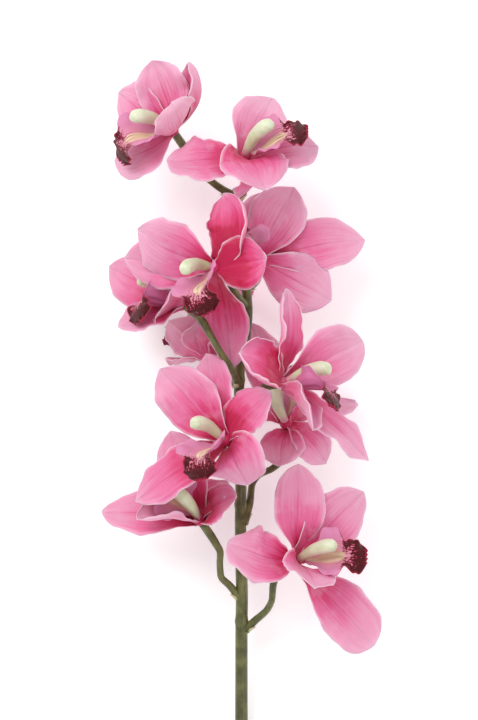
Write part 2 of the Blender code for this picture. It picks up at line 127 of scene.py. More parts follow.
BLOOM_FORMS: tuple[BloomForm, ...] = (
    BloomForm(
        "a",
        heart=(-40.0, 138.0, 70.0),
        facing=(-0.80, 0.15, 0.55),
        lip_side=(-0.3, -0.8, -0.4),
        tepals=(
            Tepal((-12, 42, -4), 34, arch=-2, cup=35, face=(-0.3, 0.0, 0.95), flush=-0.1),
            Tepal((-32, 24, -28), 32, petal=True, flush=0.1),
            Tepal((1, 13, 34), 34, arch=-6, cup=50, petal=True, face=(-0.6, 0.5, -0.6), flush=0.1),
            Tepal((11, 41, 10), 32, arch=-12, fold=50, face=(-0.9, 0.0, 0.4), flush=0.5, roll=70),
            Tepal((-34, -18, -14), 34, sway=-5, face=(-0.2, 0.4, 0.9), flush=-0.2),
        ),
        pedicel=((-4.2, 99.6, 53), (-10.2, 103.2, 55), (-16.2, 107.4, 57), (-26, 116, 59), (-33, 128, 63)),
        droop=2.0,
        flare=-12.0,
    ),
    BloomForm(
        "b",
        heart=(2.4, 121.2, 75.0),
        facing=(0.62, 0.60, 0.50),
        lip_side=(0.5, -0.6, -0.5),
        tepals=(
            Tepal((16, 37, -22), 36, face=(0.3, 0.2, 0.95), lean=1.5, flush=-0.3),
            Tepal((44, 8, -12), 38, petal=True, lean=2.5),
            Tepal((11, -21, 25), 44, arch=8, curl=5, face=(0.1, 0.85, 0.6), ruffle=1.3, lean=-2, flush=0.45),
            Tepal((-45, -3, 8), 37, sway=-5, petal=True, ruffle=1.1, flush=0.25),
            Tepal((-4, -23, -8), 26, flush=0.4),
        ),
        pedicel=((-1.2, 96, 52), (3, 103, 54), (3, 108, 60), (-2, 113, 67)),
        droop=-6.0,
        flare=45.0,
    ),
    BloomForm(
        "c",
        heart=(-15.0, 55.2, 86.0),
        facing=(-0.53, -0.15, 0.83),
        lip_side=(0.4, -0.9, 0.1),
        tepals=(
            Tepal((-45, 21, -6), 38, arch=4, curl=4, cup=10, petal=True, flush=0.05, ruffle=1.1, lean=2),
            Tepal((8, 43, 0), 34, sway=9, cup=25, roll=-90, ruffle=1.1, lean=-2, flush=0.9),
            Tepal((31, 5, 12), 34, petal=True, roll=60, ruffle=1.2, flush=1.1),
            Tepal((11, -61, -28), 32, arch=-8, sway=3, cup=15, groove=0.9, flush=0.5),
            Tepal((-53, 6, -17), 32, flush=0.3),
        ),
        pedicel=((3.6, 33, 53), (-0.5, 38, 60), (-5.5, 46, 69), (-8.7, 53.5, 76)),
        flare=-12.0,
    ),
    BloomForm(
        "d",
        heart=(-34.2, 34.2, 52.0),
        facing=(-0.86, 0.40, 0.30),
        lip_side=(-0.2, -0.7, 0.6),
        tepals=(
            Tepal((-44, 22, -18), 34, petal=True, flush=0.35),
            Tepal((-38, -15, 3), 34, face=(-0.3, 0.75, 0.6), flush=0.25),
            Tepal((-10, 25, -8), 28, flush=0.3),
            Tepal((-12, -6, 26), 30, flush=0.45),
            Tepal((-19, 8, -62), 28, petal=True, flush=0.3),
        ),
        pedicel=(
            (-0.6, -15, 50),
            (-3, -9, 60),
            (-6, -3, 67),
            (-10.8, 4, 71),
            (-16.2, 13.2, 70),
            (-23.4, 25, 62),
        ),
        flare=-20.0,
    ),
    BloomForm(
        "e",
        heart=(10.2, 61.2, 50.0),
        facing=(-0.06, 0.12, 0.99),
        lip_side=(-0.75, 0.6, -0.2),
        tepals=(
            Tepal((65, 14, -10), 34, lean=2.5, ruffle=1.0, flush=0.1),
            Tepal((23, 43, -8), 36, petal=True, flush=-0.2),
            Tepal((6, 40, -20), 32, flush=0.1),
            Tepal((45, -25, -6), 36, petal=True, flush=-0.2),
            Tepal((-12, -21, -55), 26, flush=0.1),
        ),
        pedicel=((4.2, 43, 50), (9, 46, 46), (12, 51, 42), (12, 56, 40)),
        flare=15.0,
    ),
    BloomForm(
        "f",
        heart=(26.4, -13.8, 82.0),
        facing=(0.90, 0.20, 0.40),
        lip_side=(0.1, -0.86, 0.4),
        tepals=(
            Tepal((46, 28, -22), 39, blunt=0.4, petal=True, lean=3),
            Tepal((1, 56, 0), 24, face=(0.88, 0.0, 0.47), twist=-30, flush=0.3, roll=-130, ruffle=1.2),
            Tepal((-27, 17, 26), 38, petal=True, flush=0.7, roll=-100, ruffle=1.2),
            Tepal((50, -47, -8), 34, flush=0.15, groove=0.9, ruffle=1.0),
            Tepal((16, -28, 30), 28, fold=35, flush=0.3, roll=70),
        ),
        pedicel=((1.8, -36, 47), (8, -31, 58), (13, -22, 70), (15.6, -16.2, 77)),
        droop=-6.0,
        flare=10.0,
    ),
    BloomForm(
        "g",
        heart=(28.8, -39.0, 38.0),
        facing=(-0.10, 0.80, 0.50),
        lip_side=(0.8, 0.0, -0.6),
        tepals=(
            Tepal((-4, -25, 14), 30),
            Tepal((23, -24, 4), 30, petal=True, flush=0.05),
            Tepal((43, 12, -39), 30),
            Tepal((-22, 61, -12), 28),
            Tepal((-28, 12, -22), 30, petal=True),
        ),
        pedicel=(
            (3, -99, 39),
            (6.6, -87, 37),
            (7.8, -76.8, 33),
            (11.4, -70.8, 30),
            (21, -66, 27),
            (28, -57, 28),
        ),
        flare=15.0,
    ),
    BloomForm(
        "h",
        heart=(-7.8, -48.0, 85.0),
        facing=(-0.62, 0.27, 0.73),
        lip_side=(0.1, -0.95, 0.2),
        tepals=(
            Tepal((-37, 44, -9), 38, petal=True, lean=-3, ruffle=1.0, flush=0.2),
            Tepal((-11, 51, -24), 32, flush=0.35),
            Tepal((27, 28, 10), 32, cup=30, petal=True, flush=0.5, roll=60, ruffle=1.1),
            Tepal((13, -25, 6), 42, arch=12, sway=-6, curl=5, flush=0.2, groove=1.0),
            Tepal((-53, -37, -10), 32, ruffle=1.3, flush=0.55),
        ),
        pedicel=((0.6, -66, 44), (2, -60, 56), (1.5, -54, 68)),
        droop=12.0,
    ),
    BloomForm(
        "i",
        heart=(-24.0, -96.6, 50.0),
        facing=(-0.50, 0.60, 0.60),
        lip_side=(-0.6, 0.1, -0.8),
        tepals=(
            Tepal((-59, 3, -12), 32, flush=0.25),
            Tepal((-37, 0, 22), 30, cup=40, petal=True, flush=0.15, roll=-60),
            Tepal((23, 14, 16), 32, cup=30, flush=0.7),
            Tepal((17, 22, -4), 30, petal=True, flush=0.5),
            Tepal((-17, 53, -12), 34, flush=0.35),
        ),
        pedicel=(
            (0.6, -145.8, 28),
            (-5.4, -138, 32),
            (-11.1, -131.4, 36),
            (-11.7, -123.6, 38),
            (-11.4, -117.6, 40),
            (-14.4, -111, 42),
            (-18.5, -104.5, 44),
        ),
        flare=15.0,
    ),
    BloomForm(
        "j",
        heart=(34.2, -121.2, 60.0),
        facing=(0.81, 0.31, 0.50),
        lip_side=(0.59, -0.48, -0.65),
        tepals=(
            Tepal((-41, 13, 14), 40, sway=-6, ruffle=1.3, lean=-2, flush=0.1),
            Tepal((1, 58, -4), 34, fold=12, petal=True, face=(0.25, 0.0, 1.0), ruffle=0.9, flush=0.1),
            Tepal((11, -15, 33), 36, cup=30, petal=True, face=(0.4, 0.9, 0.35), flush=0.2, ruffle=1.2),
            Tepal((39, 43, -22), 38, lean=3, flush=0.1),
            Tepal(
                (47, -51.5, -10), 37.6, blunt=0.8, face=(0.35, 0.25, 0.9), groove=0.8, ruffle=1.0, flush=0.2
            ),
        ),
        pedicel=(
            (4.2, -165, 23),
            (9.6, -159.6, 27),
            (17.4, -151.8, 34),
            (20.1, -145.2, 40),
            (20.7, -136.8, 46),
            (24.5, -127, 53),
        ),
        droop=-3.0,
        flare=45.0,
    ),
    BloomForm(
        "k",
        heart=(-19.2, 1.8, 34.0),
        facing=(-0.35, 0.80, -0.45),
        lip_side=(-0.45, -0.3, -0.8),
        tepals=(
            Tepal((-23, 21, 8), 30, flush=0.2),
            Tepal((-3, 22, 10), 28, petal=True, flush=0.3),
            Tepal((18, 8, 4), 26, flush=0.5),
            Tepal((-20, -6, -32), 28, flush=0.3),
            Tepal((14, 6, -24), 26, petal=True, flush=0.3),
        ),
        pedicel=((0, -12, 47), (-5, -14, 41), (-12, -10, 36)),
    ),
)


def unit(vector: Point | Array) -> Array:
    """Gives the vector at length one."""
    vector = np.asarray(vector, float)
    return vector / np.linalg.norm(vector)


def across(vector: Point | Array, axis: Point | Array) -> Array:
    """Gives the part of the vector that is square to the axis, at length one."""
    vector = np.asarray(vector, float)
    axis = unit(axis)
    return unit(vector - vector.dot(axis) * axis)


def eased(value: Array, low: float, high: float) -> Array:
    """Gives 0 below low and 1 above high, with a smooth rise between."""
    share = np.clip((value - low) / (high - low), 0, 1)
    return share * share * (3 - 2 * share)


def through(x: Array, stations: tuple[float, ...] | Array, values: tuple[float, ...] | Array) -> Array:
    """Reads a smooth curve through the values at the stations, with no overshoot.

    Args:
        x: Where the curve is read.
        stations: The places of the given values, in rising order.
        values: The values at the stations.

    Returns:
        The curve's values at x.
    """
    xs = np.asarray(stations, float)
    ys = np.asarray(values, float)
    steps = np.diff(xs)
    slopes = np.diff(ys) / steps
    bends = np.concatenate([slopes[:1], np.zeros(len(xs) - 2), slopes[-1:]])
    same_way = slopes[:-1] * slopes[1:] > 0
    means = 2 * slopes[:-1] * slopes[1:] / np.where(same_way, slopes[:-1] + slopes[1:], 1.0)
    bends[1:-1] = np.where(same_way, means, 0.0)
    cell = np.clip(np.searchsorted(xs, x, side="right") - 1, 0, len(steps) - 1)
    step = steps[cell]
    t = (x - xs[cell]) / step
    return (
        (1 + 2 * t) * (1 - t) ** 2 * ys[cell]
        + t * (1 - t) ** 2 * step * bends[cell]
        + t**2 * (3 - 2 * t) * ys[cell + 1]
        + t**2 * (t - 1) * step * bends[cell + 1]
    )


def read_rows(rows: Array, at: Array) -> Array:
    """Reads evenly spaced rows at the given shares of their length."""
    along = np.linspace(0, 1, len(rows))
    return np.stack([np.interp(at, along, column) for column in rows.T], 1)


def frames_along(points: Array, normal: Array) -> tuple[Array, Array]:
    """Carries a normal along a line without turning it.

    Args:
        points: The line's points.
        normal: The normal wanted at its start.

    Returns:
        The tangents and the normals at the points.
    """
    tangents = np.gradient(points, axis=0)
    tangents /= np.linalg.norm(tangents, axis=1)[:, None]
    normals = np.empty_like(points)
    for index, tangent in enumerate(tangents):
        normal = across(normal, tangent)
        normals[index] = normal
    return tangents, normals


def summed(start: float, slopes: Array, step: float) -> Array:
    """Adds up a slope along evenly spaced points, from a start value."""
    return start + step * np.concatenate([[0.0], np.cumsum(slopes[1:] + slopes[:-1]) / 2])


def smooth_line(points: tuple[Point, ...] | Array, count: int) -> Array:
    """Gives evenly counted points of a smooth line through the given ones."""
    points = np.asarray(points, float)
    steps = np.linalg.norm(np.diff(points[:, :3], axis=0), axis=1)
    along = np.concatenate([[0], np.cumsum(steps)])
    at = np.linspace(0, along[-1], count)
    return np.stack([through(at, along, column) for column in points.T], 1)


@dataclass(frozen=True)
class BentSheet:
    """A sheet that follows a middle line, as a surface over u along it and v from edge to edge.

    The angles are in degrees: edge is how far the sheet has bent up by its margin, fold how far
    both halves are folded up from the middle, and roll how far the margin curls back.
    """

    line: Array
    normals: Array
    tangents: Array
    half_width: Callable[[Array], Array]
    edge: Callable[[Array], Array]
    fold: Callable[[Array], Array]
    roll: Callable[[Array], Array]
    reaches: int = 20
    fold_width: float = 0.15
    roll_start: float = 0.62

    def points(self, u: Array, v: Array) -> tuple[Array, Array]:
        """Gives the points at (u, v) and the middle line's normals there."""
        middle = read_rows(self.line, u)
        tangent = read_rows(self.tangents, u)
        normal = read_rows(self.normals, u)
        side = np.cross(tangent, normal)
        side /= np.linalg.norm(side, axis=1)[:, None]
        reach = (np.arange(self.reaches) + 0.5) / self.reaches
        lanes = v[:, None] * reach
        degrees = self.edge(u)[:, None] * lanes
        degrees += self.fold(u)[:, None] * np.tanh(lanes / self.fold_width)
        rolled = eased(np.abs(lanes), self.roll_start, 1.0)
        degrees -= self.roll(u)[:, None] * np.sign(v)[:, None] * rolled
        slope = np.radians(degrees)
        width = (self.half_width(u) * v)[:, None]
        sideways = width * np.cos(slope).mean(1)[:, None]
        raised = width * np.sin(slope).mean(1)[:, None]
        return middle + side * sideways + normal * raised, normal


@dataclass(frozen=True)
class TepalSurface:
    """The surface of one sepal or petal, relative to its bloom's heart."""

    form: BloomForm
    tepal: Tepal
    order: int
    base_out: float = 2.8
    sepal_back: float = 2.6
    petal_back: float = 0.2
    channel: float = 25.0
    channel_end: float = 0.35
    face_turn_end: float = 0.45
    groove_width: float = 0.07
    line_points: int = 49
    wave_height: float = 1.9
    wave_pace: float = 9.0
    ruffle_pace: float = 19.0
    frill_pace: float = 43.0
    frill_share: float = 0.4
    order_phase: float = 2.4
    side_phase: float = 1.3
    stations: tuple[float, ...] = (0.0, 0.12, 0.32, 0.55, 0.76, 0.88, 0.945, 0.98, 1.0)
    pointed: tuple[float, ...] = (0.24, 0.46, 0.83, 1.0, 0.87, 0.61, 0.36, 0.15, 0.015)
    blunt: tuple[float, ...] = (0.18, 0.34, 0.68, 0.94, 1.0, 0.89, 0.66, 0.36, 0.03)

    def middle_line(self) -> tuple[Array, Array, Array]:
        """Gives the midrib with its tangents and the normals of its inner side."""
        tepal = self.tepal
        facing = unit(self.form.facing)
        tip = np.array(tepal.tip, float)
        outward = across(tip, facing)
        back = self.petal_back if tepal.petal else self.sepal_back
        base = self.base_out * outward - back * facing
        face = facing if tepal.face is None else unit(tepal.face)
        inner = across(face, tip - base)
        side = np.cross(unit(tip - base), inner)
        t = np.linspace(0, 1, self.line_points)[:, None]
        knee = (base + tip) / 2 + 2 * tepal.arch * inner + 2 * tepal.sway * side
        line = base * (1 - t) ** 2 + 2 * t * (1 - t) * knee + tip * t**2
        line = line + tepal.curl * (t - t**4) * inner
        tangents, normals = frames_along(line, across(facing, line[1] - line[0]))
        middle = len(line) // 2
        wanted = across(face, tangents[middle])
        sine = np.cross(normals[middle], wanted).dot(tangents[middle])
        face_turn = math.degrees(math.atan2(sine, normals[middle].dot(wanted)))
        share = np.clip(t[:, 0] / self.face_turn_end, 0, 1)
        turn = np.radians(face_turn * share**2 * (3 - 2 * share) + tepal.twist * t[:, 0])[:, None]
        normals = normals * np.cos(turn) + np.cross(tangents, normals) * np.sin(turn)
        line = line + normals * tepal.hook * eased(t[:, 0], 0.86, 1.06)[:, None]
        line = line + side * tepal.lean * eased(t[:, 0], 0.62, 1.04)[:, None]
        return line, tangents, normals

    def place(self, u: Array, v: Array) -> Array:
        """Gives the sheet's points at (u, v), in millimetres."""
        tepal = self.tepal
        line, tangents, normals = self.middle_line()
        shape = (1 - tepal.blunt) * np.array(self.pointed) + tepal.blunt * np.array(self.blunt)
        sheet = BentSheet(
            line,
            normals,
            tangents,
            half_width=lambda at: tepal.width / 2 * through(at, self.stations, shape),
            edge=lambda at: tepal.cup + self.channel * np.clip(1 - at / self.channel_end, 0, 1),
            fold=lambda at: tepal.fold * np.clip(at / self.channel_end, 0, 1),
            roll=lambda at: tepal.roll * eased(at, 0.2, 0.5),
        )
        points, normal = sheet.points(u, v)
        phase = self.order_phase * self.order + self.side_phase * (v > 0)
        ruffles = tepal.ruffle * np.abs(v) ** 4 * np.sin(self.ruffle_pace * u + 1.7 * phase)
        frills = np.sin(self.frill_pace * u + 2.9 * phase)
        lift = self.wave_height * tepal.wave * v**2 * np.sin(self.wave_pace * u + phase) * np.sin(np.pi * u)
        lift += ruffles * eased(u, 0.15, 0.5)
        lift += self.frill_share * tepal.ruffle * np.abs(v) ** 6 * frills
        lift -= tepal.groove * np.exp(-((v / self.groove_width) ** 2)) * eased(u, 0.05, 0.2)
        return points + normal * lift[:, None]


@dataclass(frozen=True)
class LipSurface:
    """The lip, from its claw to the tip of its middle lobe, relative to the heart.

    forward and down are how far its midline runs along the facing and on the lip side,
    half_widths its half width laid flat, and raises the angle of its edges round the column.
    """

    form: BloomForm
    stations: tuple[float, ...] = (0.0, 0.14, 0.30, 0.46, 0.60, 0.70, 0.84, 0.94, 1.0)
    forward: tuple[float, ...] = (5.4, 9.0, 14.0, 19.5, 24.5, 27.3, 29.5, 29.0, 27.8)
    down: tuple[float, ...] = (1.8, 4.8, 7.6, 9.2, 11.0, 13.6, 19.0, 23.5, 26.5)
    half_widths: tuple[float, ...] = (2.6, 6.5, 13.5, 19.5, 18.5, 9.8, 12.2, 10.8, 5.0)
    raises: tuple[float, ...] = (40.0, 60.0, 86.0, 76.0, 60.0, 38.0, -12.0, -22.0, -25.0)
    flare_start: float = 0.55
    flare_end: float = 0.80
    keel_height: float = 1.5
    keel_place: float = 0.13
    keel_width: float = 0.055
    side_roll: float = 55.0
    side_wave: float = 0.9
    ruffle: float = 1.1
    line_points: int = 61

    def place(self, u: Array, v: Array) -> Array:
        """Gives the sheet's points at (u, v), in millimetres."""
        facing = unit(self.form.facing)
        down = across(self.form.lip_side, facing)
        t = np.linspace(0, 1, self.line_points)
        forward = through(t, self.stations, self.forward)
        lower = through(t, self.stations, self.down)
        share = np.clip((t - self.flare_start) / (self.flare_end - self.flare_start), 0, 1)
        flared = np.radians(self.form.flare * share)
        slope_forward, slope_lower = np.gradient(forward, t), np.gradient(lower, t)
        forward = summed(forward[0], slope_forward * np.cos(flared) + slope_lower * np.sin(flared), t[1])
        lower = summed(lower[0], slope_lower * np.cos(flared) - slope_forward * np.sin(flared), t[1])
        droop = math.radians(self.form.droop)
        ahead = math.cos(droop) * facing + math.sin(droop) * down
        below = math.cos(droop) * down - math.sin(droop) * facing
        claw = forward[0] * facing + lower[0] * down
        line = claw + (forward - forward[0])[:, None] * ahead + (lower - lower[0])[:, None] * below
        tangents, normals = frames_along(line, -below)
        sheet = BentSheet(
            line,
            normals,
            tangents,
            half_width=lambda at: through(at, self.stations, self.half_widths),
            edge=lambda at: through(at, self.stations, self.raises),
            fold=lambda at: np.zeros_like(at),
            roll=lambda at: self.side_roll * eased(at, 0.25, 0.45) * (1 - eased(at, 0.6, 0.7)),
        )
        points, normal = sheet.points(u, v)
        front = eased(u, 0.66, 0.80)
        lift = self.ruffle * front * np.abs(v) ** 3 * np.sin(52.0 * u + 1.1 * (v > 0))
        lift += self.ruffle * 0.8 * eased(u, 0.93, 1.0) * np.sin(11.0 * v)
        lift += self.side_wave * (1 - front) * np.abs(v) ** 4 * np.sin(34.0 * u + 1.9 * (v > 0))
        keels = np.exp(-(((np.abs(v) - self.keel_place) / self.keel_width) ** 2))
        lift += self.keel_height * keels * eased(u, 0.18, 0.34) * (1 - eased(u, 0.58, 0.70))
        return points + normal * lift[:, None]


def laid_on_surface(points: Array, heart: Point, lowest: float = 0.4, ease: float = 0.8) -> Array:
    """Lifts what would reach below the surface that the stem lies on.

    Args:
        points: Points relative to the heart, in millimetres.
        heart: The bloom's heart.
        lowest: The least height of a sheet's middle.
        ease: Over how much height the lift fades out.

    Returns:
        The lifted points.
    """
    height = points[:, 2] + heart[2] - lowest
    lifted = np.where(height < ease, (height + ease) ** 2 / (4 * ease), height)
    lifted = np.where(height < -ease, 0.0, lifted)
    points = points.copy()
    points[:, 2] = lifted + lowest - heart[2]
    return points


@dataclass
class SheetTemplate:
    """A flat closed sheet of quads with two skins, ready to be bent.

    Its first material is the inner side and its rim, and its second one the back. crowding is
    how strongly its rows crowd towards the tip.
    """

    steps: int
    lanes: int
    crowding: float = 1.35
    mesh: bpy.types.Mesh = field(init=False)
    u: Array = field(init=False)
    v: Array = field(init=False)
    inner: Array = field(init=False)

    def __post_init__(self) -> None:
        """Builds the flat sheet and keeps each vertex's place on it."""
        shell = bmesh.new()
        uv = uv_layer(shell)
        bmesh.ops.create_grid(shell, x_segments=self.steps, y_segments=self.lanes, size=0.5)
        for vert in shell.verts:
            vert.co.x = 0.5 - (0.5 - vert.co.x) ** self.crowding
        for face in shell.faces:
            face.material_index = 1
        doubled = bmesh.ops.duplicate(shell, geom=[*shell.verts, *shell.edges, *shell.faces])["geom"]
        inner_faces = [part for part in doubled if isinstance(part, bmesh.types.BMFace)]
        inner_verts = [part for part in doubled if isinstance(part, bmesh.types.BMVert)]
        bmesh.ops.reverse_faces(shell, faces=inner_faces)
        bmesh.ops.translate(shell, verts=inner_verts, vec=(0.0, 0.0, -0.02))
        for face in inner_faces:
            face.material_index = 0
        rims = [edge for edge in shell.edges if edge.is_boundary]
        bmesh.ops.bridge_loops(shell, edges=rims)
        bmesh.ops.recalc_face_normals(shell, faces=shell.faces[:])
        for face in shell.faces:
            face.smooth = True
            for loop in face.loops:
                loop[uv].uv = (loop.vert.co.x + 0.5, loop.vert.co.y + 0.5)
        self.mesh = bpy.data.meshes.new("sheet_template")
        shell.to_mesh(self.mesh)
        shell.free()
        flat = np.empty(len(self.mesh.vertices) * 3)
        self.mesh.vertices.foreach_get("co", flat)
        flat = flat.reshape(-1, 3)
        self.u, self.v, self.inner = flat[:, 0] + 0.5, 2 * flat[:, 1], flat[:, 2] < -0.01

    def bent(
        self, place: Place, thickness: float, rim_thickness: float, flush: float = 0.0
    ) -> bpy.types.Mesh:
        """Bends a copy of the sheet.

        Args:
            place: Gives the middle surface's points at (u, v), in millimetres.
            thickness: The sheet's thickness in its middle.
            rim_thickness: Its thickness at the margin.
            flush: What the sheet's deepening attribute says on every point, its deeper tint and painted
                shade, or painted light where negative.

        Returns:
            The bent mesh, in metres.
        """
        step = 1e-3
        u, v = self.u, self.v
        along = place(np.clip(u + step, 0, 1), v) - place(np.clip(u - step, 0, 1), v)
        beside = place(u, np.clip(v + step, -1, 1)) - place(u, np.clip(v - step, -1, 1))
        normal = np.cross(beside, along)
        normal /= np.maximum(np.linalg.norm(normal, axis=1), 1e-12)[:, None]
        margin = np.maximum(np.abs(v) ** 3, eased(u, 0.9, 1.0))
        half = (thickness + (rim_thickness - thickness) * margin) / 2
        points = place(u, v) + normal * (half * np.where(self.inner, 1.0, -1.0))[:, None]
        mesh = self.mesh.copy()
        mesh.vertices.foreach_set("co", (points * MM).astype(np.float32).ravel())
        # Every point carries the sheet's deepening value: its deeper tint and painted shade, or painted light
        # where negative.
        tint_and_shade_attribute = mesh.attributes.new("flush", "FLOAT", "POINT")
        tint_and_shade_attribute.data.foreach_set("value", np.full(len(u), flush, np.float32))
        return mesh


def uv_layer(shell: bmesh.types.BMesh) -> bmesh.types.BMLayerItem:
    """Gives the mesh's UV map, which every material reads by its name."""
    layers = shell.loops.layers.uv
    return layers.get("UVMap") or layers.new("UVMap")


def tube(shell: bmesh.types.BMesh, line: Array, radii: Array, sides: int) -> None:
    """Adds a closed tube with UVs to a mesh, u along it and v round it.

    Args:
        shell: The mesh that it is added to.
        line: The tube's middle line, in millimetres.
        radii: The radius at each point of the line.
        sides: How many faces go round.
    """
    uv = uv_layer(shell)
    rings = len(line)
    start = (0.0, 0.0, 1.0) if abs(unit(line[1] - line[0])[2]) < 0.9 else (1.0, 0.0, 0.0)
    tangents, normals = frames_along(line, np.array(start))
    grid = bmesh.ops.create_grid(shell, x_segments=rings + 1, y_segments=sides, size=0.5)
    verts = grid["verts"]
    flat_co = np.array([vert.co[:] for vert in verts])
    ring = np.clip(np.round((flat_co[:, 0] + 0.5) * (rings + 1)).astype(int) - 1, -1, rings)
    at = np.clip(ring, 0, rings - 1)
    reach = np.where((ring < 0) | (ring >= rings), 0.0, radii[at])
    angle = -2 * np.pi * (flat_co[:, 1] + 0.5)
    beside = np.cross(tangents[at], normals[at])
    spokes = normals[at] * np.cos(angle)[:, None] + beside * np.sin(angle)[:, None]
    points = line[at] + reach[:, None] * spokes
    faces = {face for vert in verts for face in vert.link_faces}
    for face in faces:
        face.smooth = True
        for loop in face.loops:
            loop[uv].uv = (loop.vert.co.x + 0.5, loop.vert.co.y + 0.5)
    for vert, point in zip(verts, points):
        vert.co = Vector(point) * MM
    bmesh.ops.remove_doubles(shell, verts=verts, dist=1e-7)


def ball(
    shell: bmesh.types.BMesh, centre: Array, axes: tuple[Array, Array, Array], material: int = 0
) -> None:
    """Adds an ellipsoid to a mesh.

    Args:
        shell: The mesh that it is added to.
        centre: Its centre, in millimetres.
        axes: Its three half axes, in millimetres.
        material: The faces' material index.
    """
    uv = uv_layer(shell)
    turn = Matrix([Vector(axis) * MM for axis in axes]).transposed().to_4x4()
    turn.translation = Vector(centre) * MM
    made = bmesh.ops.create_uvsphere(
        shell, u_segments=BALL_SIDES, v_segments=BALL_SIDES // 2, radius=1.0, matrix=turn
    )
    faces = {face for vert in made["verts"] for face in vert.link_faces}
    bmesh.ops.recalc_face_normals(shell, faces=list(faces))
    for face in faces:
        face.smooth = True
        face.material_index = material
        for loop in face.loops:
            loop[uv].uv = BALL_UV


def srgb(code: str) -> tuple[float, float, float, float]:
    """Turns an sRGB hex colour into a linear one."""
    parts = [int(code.lstrip("#")[at : at + 2], 16) / 255 for at in (0, 2, 4)]
    linear = [part / 12.92 if part <= 0.04045 else ((part + 0.055) / 1.055) ** 2.4 for part in parts]
    return (*linear, 1.0)


Source = bpy.types.NodeSocket | float | tuple | str


def add_node(
    tree: bpy.types.NodeTree, kind: str, inputs: dict[int | str, Source] | None = None, **settings: object
) -> bpy.types.Node:
    """Adds a node with its settings, values and links.

    Args:
        tree: The tree that it is added to.
        kind: The node's type.
        inputs: What goes to each input, a socket to link or a value to set.
        settings: The node's own properties.

    Returns:
        The node.
    """
    node = tree.nodes.new(kind)
    for name, value in settings.items():
        setattr(node, name, value)
    for name, value in (inputs or {}).items():
        if isinstance(value, bpy.types.NodeSocket):
            tree.links.new(value, node.inputs[name])
        else:
            node.inputs[name].default_value = value
    return node


